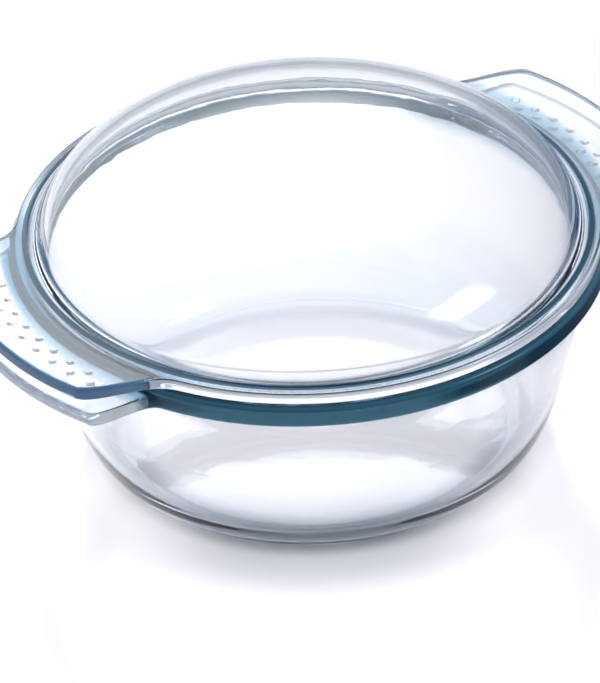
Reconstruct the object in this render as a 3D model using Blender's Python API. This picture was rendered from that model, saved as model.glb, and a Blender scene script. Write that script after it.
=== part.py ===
"""A covered casserole in clear oven glass: a round dish with a domed lid, each pressed in one piece with
two broad handles. Units are metres, Z is up, the handles lie along X, and the origin is the middle of the
dish's base."""

import math

import bmesh
import bpy

# Dish
DISH_HEIGHT = 0.0850
BASE_RADIUS = 0.0740  # the flat it stands on
CORNER_HEIGHT = 0.0403  # where the round corner over the base meets the straight wall
CORNER_FOOT_PULL = 0.0171  # the corner's two Bezier arms
CORNER_WALL_PULL = 0.0110
WALL_TOP_RADIUS = 0.1067  # outside, just under the rim
WALL_SLOPE = 0.257  # how far the wall leans out for each metre of height
FLOOR_THICKNESS = 0.0050
INNER_BASE_RADIUS = 0.0715

# Rim of the dish
RIM_RADIUS = 0.1120
RIM_HEIGHT = 0.0086
RIM_EDGE = 0.0013
RIM_TOP_INNER = 0.1068  # inner edge of the flat that carries the lid
LEDGE_RADIUS = 0.1048  # the small slope inside the rim
LEDGE_DROP = 0.0030
INNER_TOP_RADIUS = 0.1038  # where the inner wall starts
INNER_TOP_DROP = 0.0042
UNDER_RIM_FILLET = 0.0016

# Lid, with heights over the top of the dish's rim
REST_GAP = 0.0003  # between the lid's flange and the rim
FLANGE_RADIUS = 0.1103
FLANGE_TOP = 0.0048
FLANGE_EDGE = 0.0012
DOME_RADIUS = 0.1024
DOME_FOOT = -0.0010
DOME_CREST = 0.0425
DOME_POWER = 2.29  # 2 is an ellipse, more is squarer in the shoulder
DOME_THICKNESS = 0.0045
LIP_OUTER = 0.1024
LIP_INNER = 0.0987
LIP_DROP = 0.0052
LIP_ROUND = 0.0008

# Handles: heights over the rim's top, at the root and at the outer edge
HANDLE_OUTER = 0.1345
HANDLE_CORNER_CUT = 0.0012  # how much nearer to the rim the corners are than the middle
HANDLE_ROOT_STEP = 0.0004
HANDLE_EDGE = 0.0016
SIDE_POWER = 1.5  # over 1, the hollow at the root is wider than the round corner
DISH_HANDLE_TOP = (-0.0028, -0.0040)
DISH_HANDLE_UNDER = (-0.0082, -0.0097)
LID_HANDLE_TOP = (0.0048, 0.0063)
LID_HANDLE_UNDER = (0.0003, 0.0005)

# The angles from the X axis between which a handle's side runs, from its outer corner to its root
DISH_HANDLE_SIDE = (math.radians(23.2), math.radians(32.0))
LID_HANDLE_SIDE = (math.radians(20.6), math.radians(36.0))

# Mesh
GRIP_STEPS = 5
SIDE_STEPS = 10
RIM_STEPS = 9
CORNER_POINTS = 7
DOME_POINTS = 9
SMOOTH_ANGLE = math.radians(40)


def lerp(a, b, t):
    return a + (b - a) * t


def smoothstep(t):
    t = min(max(t, 0.0), 1.0)
    return t * t * (3.0 - 2.0 * t)


def quarter_angles():
    """Angles from the handle's middle to the middle of the plain rim, closest along the handle's side."""
    side_from = math.radians(20)
    side_to = LID_HANDLE_SIDE[1]
    grip = [side_from * i / GRIP_STEPS for i in range(GRIP_STEPS)]
    side = [lerp(side_from, side_to, i / SIDE_STEPS) for i in range(SIDE_STEPS)]
    rim = [lerp(side_to, math.pi / 2, i / RIM_STEPS) for i in range(RIM_STEPS)]
    return grip + side + rim


def ring_angles():
    quarter = quarter_angles()
    half = quarter + [math.pi / 2] + [math.pi - a for a in reversed(quarter[1:])]
    return half + [a + math.pi for a in half]


def angle_to_handle(angle):
    return math.acos(min(abs(math.cos(angle)), 1.0))


def handle_share(angle, side):
    """0 on the plain rim, 1 across the handle, smooth along its sides."""
    corner, root = side
    t = (root - angle_to_handle(angle)) / (root - corner)
    return smoothstep(max(t, 0.0) ** SIDE_POWER)


def handle_edge_radius(angle, side):
    """The outer edge of a handle of full reach, a little flatter than the rim's circle."""
    return HANDLE_OUTER - HANDLE_CORNER_CUT * (angle_to_handle(angle) / side[0]) ** 2


def bezier(p0, p1, p2, p3, count):
    """Points along a cubic, both ends included."""
    points = []
    for i in range(count + 1):
        t = i / count
        s = 1.0 - t
        weights = (s * s * s, 3 * s * s * t, 3 * s * t * t, t * t * t)
        points.append(tuple(sum(w * p[k] for w, p in zip(weights, (p0, p1, p2, p3))) for k in (0, 1)))
    return points


def arc(centre, radius, start, end, count):
    """Points along a round, both ends included. Angles are in degrees."""
    points = []
    for i in range(count + 1):
        a = math.radians(lerp(start, end, i / count))
        points.append((centre[0] + radius * math.cos(a), centre[1] + radius * math.sin(a)))
    return points


def bowl_corner(base_radius, base_height, wall_radius, wall_height):
    """The round corner from the base up to the straight wall, which ends at the given radius and height."""
    meet = (wall_radius - (wall_height - CORNER_HEIGHT) * WALL_SLOPE, CORNER_HEIGHT)
    length = math.hypot(WALL_SLOPE, 1.0)
    below = (meet[0] - CORNER_WALL_PULL * WALL_SLOPE / length, meet[1] - CORNER_WALL_PULL / length)
    start = (base_radius, base_height)
    return bezier(start, (base_radius + CORNER_FOOT_PULL, base_height), below, meet, CORNER_POINTS)


def handle_section(top, under, outer):
    """Outer edge of a handle in section, from the top of its root round to the underside of its root."""
    root = RIM_RADIUS + HANDLE_ROOT_STEP
    inward = 1.0 - HANDLE_EDGE / (outer - root)
    corner = 0.3 * HANDLE_EDGE
    return [
        (root, top[0]),
        (outer - HANDLE_EDGE, lerp(top[0], top[1], inward)),
        (outer - corner, top[1] - corner),
        (outer, top[1] - HANDLE_EDGE),
        (outer, (top[1] + under[1]) / 2),
        (outer, under[1] + HANDLE_EDGE),
        (outer - corner, under[1] + corner),
        (outer - HANDLE_EDGE, lerp(under[0], under[1], inward)),
        (root, under[0]),
    ]


def edge_points(angle, side, radius, band, top, under):
    """The outer edge at one angle: a plain upright band, drawn out into a handle where there is one."""
    share = handle_share(angle, side)
    handle = handle_section(top, under, handle_edge_radius(angle, side))
    count = len(handle)
    plain = [(radius, lerp(band[0], band[1], (i + 0.5) / count)) for i in range(count)]
    return [(lerp(p[0], h[0], share), lerp(p[1], h[1], share)) for p, h in zip(plain, handle)]


def dish_section(angle):
    """Half section of the dish at one angle, from the edge of the base out, up, over the rim and back inside."""
    wall_top = DISH_HEIGHT - RIM_HEIGHT
    outside = bowl_corner(BASE_RADIUS, 0.0, WALL_TOP_RADIUS, wall_top)
    under_rim = [
        (WALL_TOP_RADIUS - UNDER_RIM_FILLET * WALL_SLOPE, wall_top - UNDER_RIM_FILLET),
        (WALL_TOP_RADIUS + 0.3 * UNDER_RIM_FILLET, wall_top - 0.3 * UNDER_RIM_FILLET),
        (WALL_TOP_RADIUS + UNDER_RIM_FILLET, wall_top),
        (RIM_RADIUS - 0.5 * RIM_EDGE, wall_top + 0.1 * RIM_EDGE),
    ]
    band = (-RIM_EDGE, 0.5 * RIM_EDGE - RIM_HEIGHT)
    edge = edge_points(angle, DISH_HANDLE_SIDE, RIM_RADIUS, band, DISH_HANDLE_TOP, DISH_HANDLE_UNDER)
    edge = [(r, DISH_HEIGHT + z) for r, z in reversed(edge)]
    rim_round = arc((RIM_RADIUS - RIM_EDGE, DISH_HEIGHT - RIM_EDGE), RIM_EDGE, 10, 90, 2)
    rim_inside = [
        (RIM_TOP_INNER + 0.5 * RIM_EDGE, DISH_HEIGHT),
        (RIM_TOP_INNER, DISH_HEIGHT - 0.5 * RIM_EDGE),
        (LEDGE_RADIUS, DISH_HEIGHT - LEDGE_DROP),
        (INNER_TOP_RADIUS, DISH_HEIGHT - INNER_TOP_DROP),
    ]
    inside = bowl_corner(INNER_BASE_RADIUS, FLOOR_THICKNESS, *rim_inside[-1])
    return outside + under_rim + edge + rim_round + rim_inside + list(reversed(inside))


def dome_curve(radius, foot, crest):
    """A superellipse from the foot up to just short of the crest, as radius and height over the rim."""
    points = []
    for i in range(DOME_POINTS):
        a = math.pi / 2 * (i / DOME_POINTS) ** 0.9
        r = radius * math.cos(a) ** (2 / DOME_POWER)
        z = foot + (crest - foot) * math.sin(a) ** (2 / DOME_POWER)
        points.append((r, z))
    return points


def lid_section(angle):
    """Half section of the lid at one angle, from under the crest out to the flange and back over the dome."""
    inside = dome_curve(DOME_RADIUS - DOME_THICKNESS, -0.4 * LIP_DROP, DOME_CREST - DOME_THICKNESS)
    lip = [
        (LIP_INNER, LIP_ROUND - LIP_DROP),
        (LIP_INNER + LIP_ROUND, -LIP_DROP),
        (LIP_OUTER - LIP_ROUND, -LIP_DROP),
        (LIP_OUTER, LIP_ROUND - LIP_DROP),
        (LIP_OUTER, REST_GAP - LIP_ROUND),
        (LIP_OUTER + LIP_ROUND, REST_GAP),
    ]
    corner = 0.3 * FLANGE_EDGE
    under_edge = [(FLANGE_RADIUS - FLANGE_EDGE, REST_GAP), (FLANGE_RADIUS - corner, REST_GAP + corner)]
    band = (FLANGE_TOP - FLANGE_EDGE, REST_GAP + FLANGE_EDGE)
    edge = edge_points(angle, LID_HANDLE_SIDE, FLANGE_RADIUS, band, LID_HANDLE_TOP, LID_HANDLE_UNDER)
    top_edge = [
        (FLANGE_RADIUS - corner, FLANGE_TOP - corner),
        (FLANGE_RADIUS - FLANGE_EDGE, FLANGE_TOP),
        (DOME_RADIUS + 2 * LIP_ROUND, FLANGE_TOP),
        (DOME_RADIUS + 0.2 * LIP_ROUND, FLANGE_TOP + 0.6 * LIP_ROUND),
    ]
    dome = dome_curve(DOME_RADIUS, DOME_FOOT, DOME_CREST)
    outside = [p for p in dome if p[1] > FLANGE_TOP + LIP_ROUND]
    section = list(reversed(inside)) + lip + under_edge + list(reversed(edge)) + top_edge + outside
    return [(r, DISH_HEIGHT + z) for r, z in section]


def swept_object(name, section_at, bottom, top):
    """A closed body: rings of points at each place in the section, joined, with a point at each pole."""
    angles = ring_angles()
    sections = [section_at(a) for a in angles]
    mesh = bmesh.new()
    rings = []
    for places in zip(*sections):
        ring = [mesh.verts.new((r * math.cos(a), r * math.sin(a), z)) for (r, z), a in zip(places, angles)]
        rings.append(ring)
    poles = (mesh.verts.new((0.0, 0.0, bottom)), mesh.verts.new((0.0, 0.0, top)))
    count = len(angles)
    for i in range(count):
        j = (i + 1) % count
        mesh.faces.new((poles[0], rings[0][j], rings[0][i]))
        mesh.faces.new((rings[-1][i], rings[-1][j], poles[1]))
        for low, high in zip(rings, rings[1:]):
            mesh.faces.new((low[i], low[j], high[j], high[i]))
    bmesh.ops.recalc_face_normals(mesh, faces=mesh.faces)
    data = bpy.data.meshes.new(name)
    mesh.to_mesh(data)
    mesh.free()
    data.shade_smooth()
    data.set_sharp_from_angle(angle=SMOOTH_ANGLE)
    thing = bpy.data.objects.new(name, data)
    bpy.context.scene.collection.objects.link(thing)
    return thing


def glass(name, colour):
    material = bpy.data.materials.new(name)
    material.use_nodes = True
    shader = material.node_tree.nodes["Principled BSDF"]
    shader.inputs["Base Color"].default_value = (*colour, 1.0)
    shader.inputs["Roughness"].default_value = 0.02
    shader.inputs["Metallic"].default_value = 0.0
    shader.inputs["IOR"].default_value = 1.47
    shader.inputs["Transmission Weight"].default_value = 1.0
    return material


def make_dish():
    dish = swept_object("casserole_dish", dish_section, 0.0, FLOOR_THICKNESS)
    dish.data.materials.append(glass("dish_glass", (0.80, 0.91, 0.94)))
    return dish


def make_lid():
    crest = DISH_HEIGHT + DOME_CREST
    lid = swept_object("casserole_lid", lid_section, crest - DOME_THICKNESS, crest)
    lid.data.materials.append(glass("lid_glass", (0.86, 0.91, 0.95)))
    return lid


for thing in list(bpy.data.objects):
    bpy.data.objects.remove(thing)
make_dish()
make_lid()
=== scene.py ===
"""Looks for the covered casserole: the dish and its lid as finely pressed clear glass, on a glossy white
light panel in soft studio light. All lengths are metres."""

import math
from collections import namedtuple

import bpy
import numpy as np
from mathutils import Matrix, Vector


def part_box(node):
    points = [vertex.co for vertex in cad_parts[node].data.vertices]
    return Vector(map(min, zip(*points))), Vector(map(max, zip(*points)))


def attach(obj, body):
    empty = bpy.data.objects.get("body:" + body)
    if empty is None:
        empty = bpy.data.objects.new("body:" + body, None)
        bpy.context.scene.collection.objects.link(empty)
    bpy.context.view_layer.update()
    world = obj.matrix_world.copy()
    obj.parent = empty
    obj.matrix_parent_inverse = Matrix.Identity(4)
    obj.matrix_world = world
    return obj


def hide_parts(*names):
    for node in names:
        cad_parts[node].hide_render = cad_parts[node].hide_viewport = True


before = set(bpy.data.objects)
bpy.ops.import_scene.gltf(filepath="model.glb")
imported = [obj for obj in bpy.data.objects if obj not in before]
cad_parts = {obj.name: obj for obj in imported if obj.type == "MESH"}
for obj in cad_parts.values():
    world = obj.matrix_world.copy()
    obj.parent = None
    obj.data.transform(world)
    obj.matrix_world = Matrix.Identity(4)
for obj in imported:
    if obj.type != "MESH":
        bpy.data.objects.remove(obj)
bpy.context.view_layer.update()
dish_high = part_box("casserole_dish")[1]
lid_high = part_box("casserole_lid")[1]

MM = 0.001

# Taken from the frame
RIM_TOP = dish_high.z
RIM_RADIUS = dish_high.y
HANDLE_OUTER = dish_high.x
FLANGE_RADIUS = lid_high.y
CREST = lid_high.z - RIM_TOP

# Dish. A pair is a radius and a height.
RIM_HEIGHT = 8.6 * MM
RIM_TOP_INNER = 106.8 * MM
RIM_EDGE_ROUND = 1.9 * MM
RIM_TOP_ROUND = 1.5 * MM
LEDGE_ROUND = 1.0 * MM  # where the rim's top turns down to the ledge
UNDER_RIM_FILLET = 2.0 * MM
INNER_TOP_ROUND = 1.2 * MM
LEDGE = (104.8 * MM, RIM_TOP - 3.0 * MM)
LEDGE_SLOPE = (LEDGE[0] + 0.1 * MM, LEDGE[1] + 0.12 * MM)  # sets the way in which the line leaves the ledge
INNER_TOP = (103.8 * MM, RIM_TOP - 4.2 * MM)
WALL_TOP = (106.7 * MM, RIM_TOP - RIM_HEIGHT)
WALL_END = (WALL_TOP[0] - 0.9 * MM, WALL_TOP[1] - 3.6 * MM)  # the straight wall's last ring
RIM_START = (WALL_TOP[0] - 0.8 * MM, WALL_TOP[1] - 3.0 * MM)  # and the first one of the rim
WALL_SLOPE = 0.257  # how far the wall leans out for each metre of height
CORNER_HEIGHT = 40.3 * MM  # where the round corner over the base meets the straight wall
CORNER_FOOT_PULL = 17.1 * MM  # the corner's two Bezier arms
CORNER_WALL_PULL = 11.0 * MM
BASE_RADIUS = 74.0 * MM
INNER_BASE_RADIUS = 71.5 * MM
FLOOR_THICKNESS = 5.0 * MM
BASE_HOLLOW = 0.5 * MM  # the base is a shade hollow, so the dish stands on a ring
BASE_RING = 8.0 * MM
BASE_STEP = 16.0 * MM  # width over which the hollow begins

# Lid. Heights are over the top of the dish's rim.
REST_GAP = 0.3 * MM
FLANGE_TOP = 4.8 * MM
FLANGE_UNDER_ROUND = 1.5 * MM
FLANGE_TOP_ROUND = 1.8 * MM
DOME_RADIUS = 102.4 * MM
DOME_FOOT = -1.0 * MM
DOME_POWER = 2.29  # 2 is an ellipse, more is squarer in the shoulder
DOME_THICKNESS = 4.5 * MM
INNER_DOME_FOOT = -2.0 * MM
INNER_DOME_START = 1.0 * MM
FOOT_TOP = 9.6 * MM  # where the dome leaves the wide fillet at its foot
FOOT_FILLET = 4.8 * MM
DOME_START = FOOT_TOP + 0.3 * MM  # the dome's first ring over the fillet
LIP_OUTER = 102.4 * MM
LIP_INNER = 98.7 * MM
LIP_INNER_TOP = (LIP_INNER - 0.9 * MM, -2.0 * MM)
LIP_DROP = 5.2 * MM
LIP_ROUND = 1.2 * MM
LIP_FILLET = 0.9 * MM  # between the lip and the flange
LIP_INNER_FILLET = 1.5 * MM  # between the dome's inside and the lip
LIP_SIDE_END = -2.2 * MM  # the lip's outside, in two lines that meet between these heights
LIP_SIDE_START = -2.0 * MM

# Handles. Heights are over the rim's top.
HANDLE_CORNER_CUT = 1.2 * MM  # how much nearer to the rim the corners are than the middle
HANDLE_NOSE = 2.7 * MM  # rounding of the dish's handles at their outer edge
ROOT_FILLET = 1.2 * MM
SIDE_POWER = 1.5  # over 1, the hollow at the root is wider than the round corner
DISH_HANDLE_ROOT = -2.8 * MM
DISH_HANDLE_TOP = -4.0 * MM
DISH_HANDLE_UNDER = -9.7 * MM
LID_HANDLE_TOP = 6.3 * MM
LID_HANDLE_UNDER = 0.5 * MM
DISH_HANDLE_SIDE = (math.radians(23.2), math.radians(32.0))  # angles of the outer corner and of the root
LID_HANDLE_SIDE = (math.radians(20.6), math.radians(36.0))

# Grip dots on the top of the dish's handles
DOT_RADIUS = 1.9 * MM
DOT_HEIGHT = 0.9 * MM
DOT_EDGE = 0.45  # share of the radius over which a dot rises
DOT_STEP = math.radians(4.8)
DOT_ROWS = ((121.3 * MM, 9), (117.0 * MM, 8))  # radius of each row and its count of dots
DOTS_INNER = RIM_RADIUS + 1.5 * MM  # dots lie outside of this radius and over this height
DOTS_LOWEST = RIM_TOP - 5.0 * MM

# Camera, from the photograph's viewing angle
CAMERA_ELEVATION = math.radians(34.54)
CAMERA_ROLL = math.radians(-2.46)
CAMERA_DISTANCE = 25 * RIM_RADIUS
CAMERA_TURN = math.radians(28.3)  # how far the handles' axis is turned from the picture's horizontal
PICTURE_RIGHT = (math.cos(CAMERA_TURN), -math.sin(CAMERA_TURN), 0.0)
PICTURE_AWAY = (math.sin(CAMERA_TURN), math.cos(CAMERA_TURN), 0.0)
CAMERA_TARGET = (-0.044 * RIM_RADIUS, 0.0, RIM_TOP - 0.422 * RIM_RADIUS)
CAMERA_LENS = 445.6
SENSOR_WIDTH = 36.0


# ---------------------------------------------------------------- section curves

REACH = 0.48  # most of a straight that the rounding at one of its ends may take
WIDE_REACH = 0.62
ARM = 0.55  # length of a rounding's arms, as a share of its cut
CORNER_RINGS = 26


def lerp(a, b, t):
    return a + (b - a) * t


def smoothstep(t):
    t = np.clip(t, 0.0, 1.0)
    return t * t * (3.0 - 2.0 * t)


def even(count):
    """Shares that cut a stretch into count + 1 equal parts."""
    return [i / (count + 1) for i in range(1, count + 1)]


def angle_to_handle(angles):
    return np.arccos(np.clip(np.abs(np.cos(angles)), 0.0, 1.0))


def handle_share(angles, side):
    """0 on the plain rim, 1 across the handle, smooth along its sides."""
    corner, root = side
    t = (root - angle_to_handle(angles)) / (root - corner)
    return smoothstep(np.clip(t, 0.0, 1.0) ** SIDE_POWER)


def point(r, z, angles):
    """The same place in the section at every angle."""
    return np.stack([np.full(len(angles), r), np.full(len(angles), z)], axis=-1)


def bezier(p0, p1, p2, p3, count):
    """Points along a cubic, both ends included."""
    points = []
    for i in range(count + 1):
        t = i / count
        s = 1.0 - t
        points.append(s ** 3 * p0 + 3 * s * s * t * p1 + 3 * s * t * t * p2 + t ** 3 * p3)
    return points


def rounded(corners, cuts, arcs, stretches, wide=None):
    """A smooth line through the corners, at every angle at once. Each corner but the first and last is
    rounded over cuts[i] in arcs[i] steps, and stretches[i] holds the shares of the straight between corner i
    and i + 1 where it has points. The corner with the number wide may take more of its neighbours."""
    line = [corners[0]]
    leave = corners[0]
    last = len(corners) - 1
    for i in range(1, last):
        here = corners[i]
        back = corners[i - 1] - here
        ahead = corners[i + 1] - here
        back_length = np.linalg.norm(back, axis=-1, keepdims=True)
        ahead_length = np.linalg.norm(ahead, axis=-1, keepdims=True)
        reach = WIDE_REACH if i == wide else REACH
        cut = np.minimum(cuts[i], reach * np.minimum(back_length, ahead_length))
        arc_start = here + back / back_length * cut
        arc_end = here + ahead / ahead_length * cut
        line += [lerp(leave, arc_start, share) for share in stretches[i - 1]]
        line += bezier(arc_start, lerp(arc_start, here, ARM), lerp(arc_end, here, ARM), arc_end, arcs[i])
        leave = arc_end
    line += [lerp(leave, corners[last], share) for share in stretches[last - 1]]
    line.append(corners[last])
    return line


def bowl_corner(base_radius, base_height, wall_top, angles):
    """The round corner between the base and the wall, from the base up."""
    meet = (wall_top[0] - (wall_top[1] - CORNER_HEIGHT) * WALL_SLOPE, CORNER_HEIGHT)
    length = math.hypot(WALL_SLOPE, 1.0)
    below = (meet[0] - CORNER_WALL_PULL * WALL_SLOPE / length, meet[1] - CORNER_WALL_PULL / length)
    start = point(base_radius, base_height, angles)
    pulled = point(base_radius + CORNER_FOOT_PULL, base_height, angles)
    return bezier(start, pulled, point(*below, angles), point(*meet, angles), CORNER_RINGS)


def edge_corner(angles, side, plain, handle_height):
    """A corner of the outer edge at every angle, from its radius and height on the plain rim to its place on
    the handle."""
    share = handle_share(angles, side)[:, None]
    reach = HANDLE_OUTER - HANDLE_CORNER_CUT * (angle_to_handle(angles) / side[0]) ** 2
    on_handle = np.stack([reach, np.full(len(angles), handle_height)], axis=-1)
    return lerp(point(*plain, angles), on_handle, share)


# ---------------------------------------------------------------- mesh from rings

GRIP_STEPS = 118
SIDE_STEPS = 34
RIM_STEPS = 40
GRIP_END = math.radians(22.0)
SIDE_END = math.radians(37.0)


def ring_angles():
    """Angles round the piece, closest across the handles, in a count that can be halved twice."""
    grip = np.linspace(0.0, GRIP_END, GRIP_STEPS, endpoint=False)
    side = np.linspace(GRIP_END, SIDE_END, SIDE_STEPS, endpoint=False)
    rim = np.linspace(SIDE_END, math.pi / 2, RIM_STEPS, endpoint=False)
    quarter = np.concatenate([grip, side, rim])
    half = np.concatenate([quarter, [math.pi / 2], math.pi - quarter[:0:-1]])
    return np.concatenate([half, half + math.pi])


FINE = ring_angles()
MEDIUM = FINE[::2]
COARSE = FINE[::4]


class Sweep:
    """A closed mesh made of rings of points, from one pole to the other. Each ring is joined to the last one,
    and may have half its points, or double."""

    def __init__(self, first_pole_height):
        self.points = [np.array([[0.0, 0.0, first_pole_height]])]
        self.faces = []
        self.count = 1
        self.last = None

    def ring(self, section, angles):
        radii, heights = section[:, 0], section[:, 1]
        ring = np.stack([radii * np.cos(angles), radii * np.sin(angles), heights], axis=-1)
        self.points.append(ring)
        new = list(range(self.count, self.count + len(ring)))
        self.count += len(ring)
        if self.last is None:
            for i in range(len(new)):
                self.faces.append((0, new[(i + 1) % len(new)], new[i]))
        else:
            self.join(self.last, new)
        self.last = new

    def line(self, sections, angles):
        for section in sections:
            self.ring(section, angles)

    def join(self, low, high):
        n, m = len(low), len(high)
        if n == m:
            for i in range(n):
                j = (i + 1) % n
                self.faces.append((low[i], low[j], high[j], high[i]))
        elif n == 2 * m:
            for i in range(m):
                j = (i + 1) % m
                a, b, c = low[2 * i], low[2 * i + 1], low[(2 * i + 2) % n]
                self.faces += [(a, b, high[i]), (b, high[j], high[i]), (b, c, high[j])]
        else:
            for i in range(n):
                j = (i + 1) % n
                a, b, c = high[2 * i], high[2 * i + 1], high[(2 * i + 2) % m]
                self.faces += [(low[i], b, a), (low[i], low[j], b), (low[j], c, b)]

    def close(self, last_pole_height):
        self.points.append(np.array([[0.0, 0.0, last_pole_height]]))
        for i in range(len(self.last)):
            self.faces.append((self.last[i], self.last[(i + 1) % len(self.last)], self.count))

    def to_object(self, name):
        mesh = bpy.data.meshes.new(name)
        mesh.from_pydata(np.concatenate(self.points).tolist(), [], self.faces)
        mesh.validate()
        mesh.shade_smooth()
        thing = bpy.data.objects.new(name, mesh)
        bpy.context.scene.collection.objects.link(thing)
        return thing


# ---------------------------------------------------------------- dish

HOLLOW_SHARES = (0.25, 0.5)  # radii of rings in the hollow and on the floor, as shares of the whole
FLOOR_SHARES = (0.8, 0.5, 0.25)
BASE_STEP_RINGS = 6
WALL_RINGS = 6
HANDLE_TOP_RINGS = [0.06, 0.2, 0.34, *np.linspace(0.47, 0.87, 26), 0.94]  # closest where the dots are


def dot_heights(radii, angles):
    """Height of the grip dots over the handle at these places."""
    height = np.zeros_like(radii)
    for row_radius, count in DOT_ROWS:
        for side in (0.0, math.pi):
            for i in range(count):
                at = side + (i - (count - 1) / 2) * DOT_STEP
                x, y = row_radius * math.cos(at), row_radius * math.sin(at)
                away = np.hypot(radii * np.cos(angles) - x, radii * np.sin(angles) - y) / DOT_RADIUS
                height = np.maximum(height, DOT_HEIGHT * smoothstep((1.0 - away) / DOT_EDGE))
    return height


def dotted(section, angles):
    """The section with the grip dots raised where it runs over the top of a handle."""
    on_handle = (section[:, 0] > DOTS_INNER) & (section[:, 1] > DOTS_LOWEST)
    raised = section.copy()
    raised[:, 1] += np.where(on_handle, dot_heights(section[:, 0], angles), 0.0)
    return raised


def dish_edge(angles):
    """The rim and the handles, from under the rim round to the ledge inside it."""
    side = DISH_HANDLE_SIDE
    handle_top = RIM_TOP + DISH_HANDLE_TOP
    low = edge_corner(angles, side, (RIM_RADIUS, RIM_TOP - RIM_HEIGHT), RIM_TOP + DISH_HANDLE_UNDER)
    high = edge_corner(angles, side, (RIM_RADIUS, handle_top), handle_top)
    nose = lerp(RIM_EDGE_ROUND, HANDLE_NOSE, handle_share(angles, side)[:, None])
    corners = [
        point(*RIM_START, angles),
        point(*WALL_TOP, angles),
        low,
        high,
        point(RIM_RADIUS, RIM_TOP + DISH_HANDLE_ROOT, angles),
        point(RIM_RADIUS, RIM_TOP, angles),
        point(RIM_TOP_INNER, RIM_TOP, angles),
        point(*LEDGE, angles),
    ]
    cuts = [0, UNDER_RIM_FILLET, nose, nose, ROOT_FILLET, RIM_TOP_ROUND, LEDGE_ROUND, 0]
    arcs = [0, 6, 8, 8, 5, 6, 4, 0]
    stretches = [[], even(4), even(1), HANDLE_TOP_RINGS, even(1), even(2), even(1)]
    return rounded(corners, cuts, arcs, stretches)


def build_dish():
    sweep = Sweep(BASE_HOLLOW)
    ring_inner = BASE_RADIUS - BASE_RING
    for share in HOLLOW_SHARES:
        sweep.ring(point(share * ring_inner, BASE_HOLLOW, COARSE), COARSE)
    for i in range(1, BASE_STEP_RINGS + 1):
        share = i / BASE_STEP_RINGS
        lift = float(BASE_HOLLOW * (1 - smoothstep(share)))
        sweep.ring(point(lerp(ring_inner - BASE_STEP, ring_inner, share), lift, MEDIUM), MEDIUM)
    outside = bowl_corner(BASE_RADIUS, 0.0, WALL_TOP, MEDIUM)
    sweep.line(outside, MEDIUM)
    wall_end = point(*WALL_END, MEDIUM)
    sweep.line([lerp(outside[-1], wall_end, i / WALL_RINGS) for i in range(1, WALL_RINGS + 1)], MEDIUM)
    sweep.line([dotted(section, FINE) for section in dish_edge(FINE)], FINE)
    inside = bowl_corner(INNER_BASE_RADIUS, FLOOR_THICKNESS, INNER_TOP, MEDIUM)
    corners = [point(*LEDGE_SLOPE, MEDIUM), point(*INNER_TOP, MEDIUM), inside[-1]]
    down = rounded(corners, [0, INNER_TOP_ROUND, 0], [0, 5, 0], [[], even(WALL_RINGS)])
    sweep.line(down[1:], MEDIUM)
    sweep.line(inside[-2::-1], MEDIUM)
    for share in FLOOR_SHARES:
        sweep.ring(point(share * INNER_BASE_RADIUS, FLOOR_THICKNESS, COARSE), COARSE)
    sweep.close(FLOOR_THICKNESS)
    return sweep.to_object("dish_glass_body")


# ---------------------------------------------------------------- lid

DOME_RINGS = 46
INNER_DOME_RINGS = 44
DOME_SPREAD = 0.85  # under 1, the rings are wider apart at the foot than at the crest
SLOPE_STEP = 0.1 * MM


def dome_curve(radius, foot, crest, start_height, angles, count):
    """A superellipse from the given height up to just short of the crest."""
    rise = (start_height - foot) / (crest - foot)
    start = math.asin(rise ** (DOME_POWER / 2))
    points = []
    for i in range(count):
        a = lerp(start, math.pi / 2, (i / count) ** DOME_SPREAD)
        r = radius * math.cos(a) ** (2 / DOME_POWER)
        z = foot + (crest - foot) * math.sin(a) ** (2 / DOME_POWER)
        points.append(point(r, RIM_TOP + z, angles))
    return points


def dome_radius_at(height):
    """Radius of the dome's outside at a height over the rim's top."""
    rise = (height - DOME_FOOT) / (CREST - DOME_FOOT)
    return DOME_RADIUS * (1.0 - rise ** DOME_POWER) ** (1.0 / DOME_POWER)


def dome_slope_at(height):
    """Change of the dome's radius for each metre of height. It is negative, because the dome draws in."""
    change = dome_radius_at(height + SLOPE_STEP) - dome_radius_at(height - SLOPE_STEP)
    return change / (2 * SLOPE_STEP)


def lid_edge(angles):
    """The flange and the handles, from the lip's outside round to the wide fillet at the dome's foot."""
    side = LID_HANDLE_SIDE
    low = edge_corner(angles, side, (FLANGE_RADIUS, RIM_TOP + REST_GAP), RIM_TOP + LID_HANDLE_UNDER)
    high = edge_corner(angles, side, (FLANGE_RADIUS, RIM_TOP + FLANGE_TOP), RIM_TOP + LID_HANDLE_TOP)
    slope = dome_slope_at(FOOT_TOP)
    foot = dome_radius_at(FOOT_TOP) - slope * (FOOT_TOP - FLANGE_TOP)
    along_dome = 10 * MM  # only the way to this last corner counts: the dome's own rings take its place
    corners = [
        point(LIP_OUTER, RIM_TOP + LIP_SIDE_START, angles),
        point(LIP_OUTER, RIM_TOP + REST_GAP, angles),
        low,
        high,
        point(foot, RIM_TOP + FLANGE_TOP, angles),
        point(foot + slope * along_dome, RIM_TOP + FLANGE_TOP + along_dome, angles),
    ]
    cuts = [0, LIP_FILLET, FLANGE_UNDER_ROUND, FLANGE_TOP_ROUND, FOOT_FILLET, 0]
    arcs = [0, 5, 8, 9, 10, 0]
    stretches = [[], even(6), even(1), even(8), []]
    return rounded(corners, cuts, arcs, stretches, wide=4)[:-1]


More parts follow.
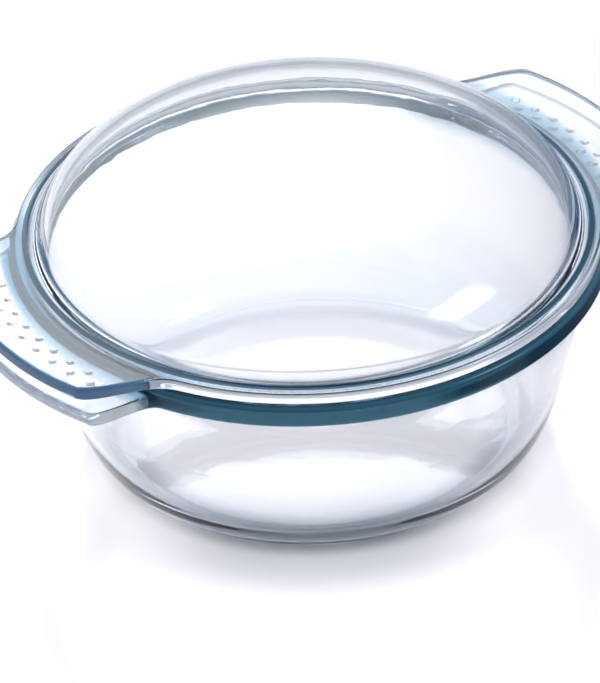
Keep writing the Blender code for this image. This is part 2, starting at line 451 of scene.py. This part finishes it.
def lip_line(dome_end):
    """The locating lip under the flange, from the inside of the dome down and round to its outside."""
    low = RIM_TOP - LIP_DROP
    corners = [
        dome_end,
        point(LIP_INNER_TOP[0], RIM_TOP + LIP_INNER_TOP[1], MEDIUM),
        point(LIP_INNER, low, MEDIUM),
        point(LIP_OUTER, low, MEDIUM),
        point(LIP_OUTER, RIM_TOP + LIP_SIDE_END, MEDIUM),
    ]
    cuts = [0, LIP_INNER_FILLET, LIP_ROUND, LIP_ROUND, 0]
    return rounded(corners, cuts, [0, 4, 6, 6, 0], [[], even(1), even(1), even(1)])


def build_lid():
    crest = CREST - DOME_THICKNESS
    radius = DOME_RADIUS - DOME_THICKNESS
    sweep = Sweep(RIM_TOP + crest)
    inside = dome_curve(radius, INNER_DOME_FOOT, crest, INNER_DOME_START, MEDIUM, INNER_DOME_RINGS)
    sweep.ring(inside[-1][::2], COARSE)
    sweep.line(inside[-2::-1], MEDIUM)
    sweep.line(lip_line(inside[0])[1:], MEDIUM)
    sweep.line(lid_edge(FINE), FINE)
    outside = dome_curve(DOME_RADIUS, DOME_FOOT, CREST, DOME_START, MEDIUM, DOME_RINGS)
    sweep.line(outside[:-1], MEDIUM)
    sweep.ring(outside[-1][::2], COARSE)
    sweep.close(RIM_TOP + CREST)
    return sweep.to_object("lid_glass_body")


# ---------------------------------------------------------------- materials

UPWARDS = (0.0, 0.0, 1.0)
HANDLE_AXIS = (1.0, 0.0, 0.0)

# Glass
GLASS_IOR = 1.47
ABSORPTION_COLOUR = (0.58, 0.68, 0.80, 1.0)
ABSORPTION_DENSITY = 24.0
WAVE_SCALE = 55.0
WAVE_STRENGTH = 0.12
WAVE_HEIGHT = 0.4 * MM

# Light tints of the glass as a whole, painted shade in the heel, and where they are. A window is start, full,
# fall, end.
CLEAR = (1.0, 1.0, 1.0, 1.0)
THICK = (0.70, 0.80, 0.87, 1.0)
THICK_RADIUS = (100 * MM, 108 * MM, 111 * MM, 118 * MM)
UPPER_PART = (RIM_TOP - 16 * MM, RIM_TOP - 8 * MM)
ROOT = (0.30, 0.46, 0.56, 1.0)
ROOT_RADIUS = (102 * MM, 105 * MM, 115 * MM, 117.5 * MM)
ROOT_SIDES = (0.72, 0.86)  # of the radius, how much lies along the handles' axis
# Painted shade: the dish's outside grows darker towards the base
HEEL_SHADE = (0.86, 0.89, 0.93, 1.0)
HEEL_SHADE_HEIGHT = (52 * MM, 10 * MM)
HEEL_SHADE_RADIUS = (60 * MM, 76 * MM)
HANDLE = (0.85, 0.87, 0.90, 1.0)
HANDLE_RADIUS = (113 * MM, 119 * MM)

# Strong tints and painted colours of single edges: the glass's own blue-green and blue, dark painted shade
# and painted white light, and the colours of their reflections, painted blue-green and grey on some edges
# Painted shade: the glass's own blue-green, darkened nearly to black
TEAL_PAINTED_SHADE = (0.005, 0.050, 0.092, 1.0)
# Painted shade: a dark blue-green for the rim's rounded top
RIM_CROWN_SHADE = (0.028, 0.11, 0.17, 1.0)
EDGE_BLUE = (0.15, 0.34, 0.58, 1.0)
# Painted light: a white for the edges of the flange and of the dish's handles
PAINTED_LIGHT_WHITE = (0.93, 0.96, 1.0, 1.0)
# Painted reflection: turns reflections blue-green
TEAL_PAINTED_REFLECTION = (0.45, 0.64, 0.76, 1.0)
# Painted shade: dims reflections to grey
FOOT_REFLECTION_SHADE = (0.40, 0.43, 0.46, 1.0)
PLAIN_SHINE = (1.0, 1.0, 1.0, 1.0)
BAND_EDGE = 0.4 * MM
STEEP = (0.96, 0.82)  # of a surface normal's upward part, where flat ends and steep begins

# An edge band: its own colour, partly the glass's own colour and partly painted shade and painted light, the
# colour of its reflections, painted on some bands, and the share of it that is not see-through.
# flat is 1 where flat faces take part too and 0 where only steep ones do, fade is the width over which it
# starts on its inner side, and radii and heights are its lowest and highest.
Band = namedtuple("Band", "tint shine body flat fade radii heights")


class Nodes:
    """Short ways to add and join shader nodes in one tree."""

    def __init__(self, tree):
        self.tree = tree

    def add(self, kind, **values):
        node = self.tree.nodes.new(kind)
        for name, value in values.items():
            setattr(node, name, value)
        return node

    def put(self, socket, value):
        if isinstance(value, bpy.types.NodeSocket):
            self.tree.links.new(value, socket)
        else:
            socket.default_value = value

    def math(self, operation, first, second=0.0, third=0.0):
        node = self.add("ShaderNodeMath", operation=operation)
        for socket, value in zip(node.inputs, (first, second, third)):
            self.put(socket, value)
        return node.outputs[0]

    def product(self, first, *others):
        for other in others:
            first = self.math("MULTIPLY", first, other)
        return first

    def ramp(self, value, low, high):
        """0 below low, 1 above high, smooth between. High may be the lower of the two."""
        node = self.add("ShaderNodeMapRange", interpolation_type="SMOOTHSTEP")
        self.put(node.inputs["Value"], value)
        node.inputs["From Min"].default_value = low
        node.inputs["From Max"].default_value = high
        return node.outputs["Result"]

    def window(self, value, start, full, fall, end):
        """0 outside start and end, 1 between full and fall, smooth between."""
        return self.product(self.ramp(value, start, full), self.ramp(value, end, fall))

    def mix(self, share, first, second):
        node = self.add("ShaderNodeMix", data_type="RGBA")
        self.put(node.inputs["Factor"], share)
        first_colour, second_colour = [socket for socket in node.inputs if socket.type == "RGBA"]
        self.put(first_colour, first)
        self.put(second_colour, second)
        return next(socket for socket in node.outputs if socket.type == "RGBA")

    def dot(self, vector, axis):
        node = self.add("ShaderNodeVectorMath", operation="DOT_PRODUCT")
        self.put(node.inputs[0], vector)
        node.inputs[1].default_value = axis
        return node.outputs["Value"]

    def noise(self, vector, scale):
        node = self.add("ShaderNodeTexNoise")
        self.put(node.inputs["Vector"], vector)
        node.inputs["Scale"].default_value = scale
        return node.outputs["Fac"]

    def radius(self, vector):
        flat = self.add("ShaderNodeVectorMath", operation="MULTIPLY")
        self.put(flat.inputs[0], vector)
        flat.inputs[1].default_value = (1.0, 1.0, 0.0)
        length = self.add("ShaderNodeVectorMath", operation="LENGTH")
        self.put(length.inputs[0], flat.outputs["Vector"])
        return length.outputs["Value"]


def whole_glass_colour(nodes, place, radius, height):
    """Clear, lightly tinted round the rim, at the handles' roots and in the handles, with painted shade in
    the heel.
    """
    upper_part = nodes.ramp(height, *UPPER_PART)
    thick = nodes.product(nodes.window(radius, *THICK_RADIUS), upper_part)
    colour = nodes.mix(thick, CLEAR, THICK)
    along_axis = nodes.math("ABSOLUTE", nodes.dot(place, HANDLE_AXIS))
    root_sides = nodes.ramp(nodes.math("DIVIDE", along_axis, radius), *ROOT_SIDES)
    root = nodes.product(root_sides, nodes.window(radius, *ROOT_RADIUS), upper_part)
    colour = nodes.mix(root, colour, ROOT)
    # Painted shade, darker low on the outside towards the base
    heel = nodes.product(nodes.ramp(height, *HEEL_SHADE_HEIGHT), nodes.ramp(radius, *HEEL_SHADE_RADIUS))
    colour = nodes.mix(heel, colour, HEEL_SHADE)
    return nodes.mix(nodes.ramp(radius, *HANDLE_RADIUS), colour, HANDLE)


def band_mask(nodes, band, radius, height, steep):
    r_low, r_high = band.radii
    z_low, z_high = band.heights
    return nodes.product(
        nodes.window(radius, r_low - band.fade, r_low, r_high, r_high + BAND_EDGE),
        nodes.math("MAXIMUM", steep, band.flat),
        nodes.window(height, z_low - BAND_EDGE, z_low, z_high, z_high + BAND_EDGE),
    )


def glass_material(name, bands):
    """Clear pressed glass that shows its own blue-green where it is looked at through a thick edge, with
    painted shade, painted light and painted reflections on single edges and painted shade in the heel.
    """
    material = bpy.data.materials.new(name)
    material.use_nodes = True
    tree = material.node_tree
    nodes = Nodes(tree)
    shader = tree.nodes["Principled BSDF"]
    coordinates = nodes.add("ShaderNodeTexCoord")
    place = coordinates.outputs["Object"]
    radius = nodes.radius(place)
    height = nodes.dot(place, UPWARDS)
    rise = nodes.math("ABSOLUTE", nodes.dot(coordinates.outputs["Normal"], UPWARDS))
    steep = nodes.ramp(rise, *STEEP)
    colour = whole_glass_colour(nodes, place, radius, height)
    shine = PLAIN_SHINE
    see_through = 1.0
    for band in bands:
        mask = band_mask(nodes, band, radius, height, steep)
        colour = nodes.mix(mask, colour, band.tint)
        shine = nodes.mix(mask, shine, band.shine)
        see_through = nodes.math("SUBTRACT", see_through, nodes.product(mask, band.body))
    waves = nodes.add("ShaderNodeBump")
    waves.inputs["Strength"].default_value = WAVE_STRENGTH
    waves.inputs["Distance"].default_value = WAVE_HEIGHT
    nodes.put(waves.inputs["Height"], nodes.noise(place, WAVE_SCALE))
    nodes.put(shader.inputs["Base Color"], colour)
    nodes.put(shader.inputs["Specular Tint"], shine)
    nodes.put(shader.inputs["Transmission Weight"], see_through)
    nodes.put(shader.inputs["Normal"], waves.outputs["Normal"])
    shader.inputs["Roughness"].default_value = 0.0
    shader.inputs["IOR"].default_value = GLASS_IOR
    absorb = nodes.add("ShaderNodeVolumeAbsorption")
    absorb.inputs["Color"].default_value = ABSORPTION_COLOUR
    absorb.inputs["Density"].default_value = ABSORPTION_DENSITY
    nodes.put(tree.nodes["Material Output"].inputs["Volume"], absorb.outputs["Volume"])
    return material


# Table: places are metres to the right and away in the picture from the object's middle
TABLE_GLOW = 0.72
GLOW_COLOUR = (0.99, 0.955, 1.0, 1.0)
PANEL_COLOUR = (0.27, 0.27, 0.27, 1.0)
DARK_TABLE_COLOUR = (0.06, 0.09, 0.13, 1.0)
SHADE_COLOUR = (0.03, 0.05, 0.07, 1.0)
TABLE_ROUGHNESS = 0.19
TABLE_IOR = 1.9
PANEL_ACROSS = (-0.60, -0.30, 0.115, 0.155)
PANEL_AWAY = (-0.40, -0.19, 0.34, 0.70)

# Contact shade in front of the dish's base, and the wider one before it. Facing is -1 towards the camera.
CONTACT_RADIUS = (60 * MM, 72 * MM, 78 * MM, 88 * MM)
CONTACT_FACING = (0.2, -0.3)
CONTACT_SHARE = 0.45
APRON_RADIUS = (30 * MM, 80 * MM, 92 * MM, 120 * MM)
APRON_FACING = (-0.60, -1.0)
APRON_SHARE = 0.55

# Soft shadow to the right behind the dish, and a weaker one under it that is weakest on the left
SHADOW_SHARE = 0.42
BEHIND_ACROSS = (-0.02, 0.10)  # the right half of what lies behind
BEHIND_AWAY = (0.0, 0.10, 0.24, 0.32)
UNDER_RADIUS = (95 * MM, 85 * MM)
UNDER_ACROSS = (-0.03, 0.06)
UNDER_LEFT = 0.3
UNDER_RIGHT_MORE = 0.25
NO_RADIUS = 1 * MM  # keeps the division at the middle whole


def table_shade(nodes, radius, away):
    """How dark the table is close to the dish, on the camera's side."""
    facing = nodes.math("DIVIDE", away, nodes.math("MAXIMUM", radius, NO_RADIUS))
    contact = nodes.product(nodes.window(radius, *CONTACT_RADIUS), nodes.ramp(facing, *CONTACT_FACING))
    apron = nodes.product(nodes.window(radius, *APRON_RADIUS), nodes.ramp(facing, *APRON_FACING))
    return nodes.math("ADD", nodes.product(contact, CONTACT_SHARE), nodes.product(apron, APRON_SHARE))


def table_shadow(nodes, radius, across, away):
    """How much less the panel glows behind the dish and under it."""
    behind = nodes.product(nodes.ramp(across, *BEHIND_ACROSS), nodes.window(away, *BEHIND_AWAY))
    under_side = nodes.math("MULTIPLY_ADD", nodes.ramp(across, *UNDER_ACROSS), UNDER_RIGHT_MORE, UNDER_LEFT)
    under = nodes.product(nodes.ramp(radius, *UNDER_RADIUS), under_side)
    return nodes.product(nodes.math("MAXIMUM", behind, under), SHADOW_SHARE)


def table_material():
    """A glossy white light panel round the object, fading into the dark table it lies on."""
    material = bpy.data.materials.new("pale_table")
    material.use_nodes = True
    nodes = Nodes(material.node_tree)
    shader = material.node_tree.nodes["Principled BSDF"]
    place = nodes.add("ShaderNodeTexCoord").outputs["Object"]
    radius = nodes.radius(place)
    across = nodes.dot(place, PICTURE_RIGHT)
    away = nodes.dot(place, PICTURE_AWAY)
    panel = nodes.product(nodes.window(across, *PANEL_ACROSS), nodes.window(away, *PANEL_AWAY))
    colour = nodes.mix(panel, DARK_TABLE_COLOUR, PANEL_COLOUR)
    shade = table_shade(nodes, radius, away)
    unshaded = nodes.math("SUBTRACT", 1.0, shade)
    unshadowed = nodes.math("SUBTRACT", 1.0, table_shadow(nodes, radius, across, away))
    glow = nodes.product(panel, unshaded, unshadowed, TABLE_GLOW)
    nodes.put(shader.inputs["Base Color"], nodes.mix(shade, colour, SHADE_COLOUR))
    nodes.put(shader.inputs["Emission Strength"], glow)
    shader.inputs["Emission Color"].default_value = GLOW_COLOUR
    shader.inputs["Roughness"].default_value = TABLE_ROUGHNESS
    shader.inputs["IOR"].default_value = TABLE_IOR
    return material


# ---------------------------------------------------------------- stage

TABLE_HALF = 6.0
TABLE_DROP = 0.2 * MM  # keeps the table clear of the dish's base
LAMP_CENTRE = (0.0, 0.0, 0.05)  # what the softboxes face

# The studio's colours, and how far to a side of the picture each one starts and is full
ZENITH = (0.60, 0.62, 0.68, 1.0)
HORIZON = (0.90, 0.93, 0.97, 1.0)
LEFT_WALL = (0.22, 0.33, 0.45, 1.0)
RIGHT_WALL = (0.30, 0.35, 0.44, 1.0)
FRONT_WALL = (0.32, 0.38, 0.46, 1.0)
ZENITH_RISE = (0.0, 0.8)
LEFT_REACH = (-0.55, -0.9)
RIGHT_REACH = (0.0, 0.8)
FRONT_REACH = (0.3, -0.5)


def add_floor():
    half = TABLE_HALF
    mesh = bpy.data.meshes.new("table_top")
    corners = [(-half, -half, 0), (half, -half, 0), (half, half, 0), (-half, half, 0)]
    mesh.from_pydata(corners, [], [(0, 1, 2, 3)])
    floor = bpy.data.objects.new("table_top", mesh)
    floor.location.z = -TABLE_DROP
    bpy.context.scene.collection.objects.link(floor)
    mesh.materials.append(table_material())


def add_softbox(name, degrees, distance, size, power, edge):
    """An area light that faces the object. Its degrees are the azimuth from the camera's right and the height
    over the table. It fades out over the edge, which is a share of its size."""
    azimuth, height = (math.radians(angle) for angle in degrees)
    azimuth -= CAMERA_TURN
    level = math.cos(height)
    away = Vector((math.cos(azimuth) * level, math.sin(azimuth) * level, math.sin(height)))
    light = bpy.data.lights.new(name, "AREA")
    light.shape = "RECTANGLE"
    light.size, light.size_y = size
    light.energy = power
    light.use_nodes = True
    nodes = Nodes(light.node_tree)
    place = nodes.add("ShaderNodeSeparateXYZ")
    nodes.put(place.inputs[0], nodes.add("ShaderNodeNewGeometry").outputs["Parametric"])
    sides = [nodes.window(place.outputs[axis], 0.0, edge, 1.0 - edge, 1.0) for axis in ("X", "Y")]
    nodes.put(light.node_tree.nodes["Emission"].inputs["Strength"], nodes.product(*sides))
    lamp = bpy.data.objects.new(name, light)
    lamp.location = away * distance + Vector(LAMP_CENTRE)
    lamp.rotation_euler = away.to_track_quat("Z", "Y").to_euler()
    bpy.context.scene.collection.objects.link(lamp)


def add_world():
    """A studio: pale overhead, greyer to the sides and behind the camera."""
    world = bpy.data.worlds.new("studio")
    world.use_nodes = True
    nodes = Nodes(world.node_tree)
    direction = nodes.add("ShaderNodeTexCoord").outputs["Generated"]
    height = nodes.dot(direction, UPWARDS)
    away = nodes.dot(direction, PICTURE_AWAY)
    across = nodes.dot(direction, PICTURE_RIGHT)
    around = nodes.mix(nodes.ramp(across, *RIGHT_REACH), HORIZON, RIGHT_WALL)
    around = nodes.mix(nodes.ramp(across, *LEFT_REACH), around, LEFT_WALL)
    around = nodes.mix(nodes.ramp(away, *FRONT_REACH), around, FRONT_WALL)
    colour = nodes.mix(nodes.ramp(height, *ZENITH_RISE), around, ZENITH)
    nodes.put(world.node_tree.nodes["Background"].inputs["Color"], colour)
    bpy.context.scene.world = world


def add_camera():
    turn = Matrix.Rotation(-CAMERA_TURN, 3, "Z")
    forward = Vector((0.0, math.cos(CAMERA_ELEVATION), -math.sin(CAMERA_ELEVATION)))
    right = Vector((1.0, 0.0, 0.0))
    up = right.cross(forward)
    tilted_right = math.cos(CAMERA_ROLL) * right + math.sin(CAMERA_ROLL) * up
    tilted_up = math.cos(CAMERA_ROLL) * up - math.sin(CAMERA_ROLL) * right
    place = Vector(CAMERA_TARGET) - CAMERA_DISTANCE * forward
    axes = Matrix((turn @ tilted_right, turn @ tilted_up, turn @ -forward)).transposed()
    data = bpy.data.cameras.new("camera")
    data.lens = CAMERA_LENS
    data.sensor_fit = "HORIZONTAL"
    data.sensor_width = SENSOR_WIDTH
    data.dof.use_dof = False
    camera = bpy.data.objects.new("camera", data)
    camera.matrix_world = Matrix.Translation(turn @ place) @ axes.to_4x4()
    bpy.context.scene.collection.objects.link(camera)
    bpy.context.scene.camera = camera


# ---------------------------------------------------------------- the object

WIDE_FADE = 5 * MM
LID_HANDLE_FADE = 4 * MM

# Painted shade: the rim's outer face in a near-black blue-green, partly opaque, with painted blue-green
# reflections
rim_side = Band(
    tint=TEAL_PAINTED_SHADE, shine=TEAL_PAINTED_REFLECTION, body=0.6, flat=0.0, fade=BAND_EDGE,
    radii=(RIM_RADIUS - 1.5 * MM, RIM_RADIUS + 1.5 * MM),
    heights=(RIM_TOP - RIM_HEIGHT, RIM_TOP),
)
# Painted shade: the rim's rounded top dark blue-green and mostly opaque, with painted blue-green reflections
rim_crown_shade = Band(
    tint=RIM_CROWN_SHADE, shine=TEAL_PAINTED_REFLECTION, body=0.85, flat=1.0, fade=BAND_EDGE,
    radii=(RIM_RADIUS - 2.2 * MM, RIM_RADIUS + 0.5 * MM),
    heights=(RIM_TOP - 1.3 * MM, RIM_TOP + 0.2 * MM),
)
# Painted light: the outer edge of the dish's handles partly opaque white
dish_handle_edge = Band(
    tint=PAINTED_LIGHT_WHITE, shine=PLAIN_SHINE, body=0.6, flat=0.0, fade=WIDE_FADE,
    radii=(RIM_RADIUS + 6.5 * MM, HANDLE_OUTER),
    heights=(RIM_TOP - 9.3 * MM, RIM_TOP - 4.3 * MM),
)
# Painted light: the flange's outer edge partly opaque white
flange_edge = Band(
    tint=PAINTED_LIGHT_WHITE, shine=PLAIN_SHINE, body=0.6, flat=0.0, fade=BAND_EDGE,
    radii=(FLANGE_RADIUS - 1.0 * MM, RIM_RADIUS + 1.5 * MM),
    heights=(RIM_TOP + 0.8 * MM, RIM_TOP + 4.3 * MM),
)
lid_handle_edge = Band(
    tint=EDGE_BLUE, shine=PLAIN_SHINE, body=0.5, flat=0.0, fade=LID_HANDLE_FADE,
    radii=(RIM_RADIUS + 4.0 * MM, HANDLE_OUTER),
    heights=(RIM_TOP + 1.0 * MM, RIM_TOP + LID_HANDLE_TOP),
)
# Painted shade: a near-black blue-green line round the dome's foot, with its reflections dimmed to grey
dome_foot = Band(
    tint=TEAL_PAINTED_SHADE, shine=FOOT_REFLECTION_SHADE, body=0.75, flat=1.0, fade=BAND_EDGE,
    radii=(104.9 * MM, 106.8 * MM),
    heights=(RIM_TOP + FLANGE_TOP - 0.3 * MM, RIM_TOP + FLANGE_TOP + 1.4 * MM),
)

dish = build_dish()
dish.data.materials.append(glass_material("clear_dish_glass", [rim_side, rim_crown_shade, dish_handle_edge]))
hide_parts("casserole_dish")
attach(dish, "dish")

lid = build_lid()
lid.data.materials.append(glass_material("clear_lid_glass", [flange_edge, lid_handle_edge, dome_foot]))
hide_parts("casserole_lid")
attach(lid, "lid")

add_floor()
add_world()
add_softbox("big_softbox", degrees=(110, 46), distance=1.6, size=(2.0, 1.6), power=28.0, edge=0.2)
add_softbox("side_softbox", degrees=(-17, 38), distance=1.5, size=(0.75, 0.65), power=17.0, edge=0.35)
add_camera()

# Glass in front of glass takes many bounces
GLASS_BOUNCES = 24
GLOSSY_BOUNCES = 12

scene = bpy.context.scene
scene.view_settings.view_transform = "Standard"
scene.cycles.max_bounces = GLASS_BOUNCES
scene.cycles.transmission_bounces = GLASS_BOUNCES
scene.cycles.transparent_max_bounces = GLASS_BOUNCES
scene.cycles.glossy_bounces = GLOSSY_BOUNCES
scene.cycles.caustics_refractive = True
scene.cycles.caustics_reflective = True
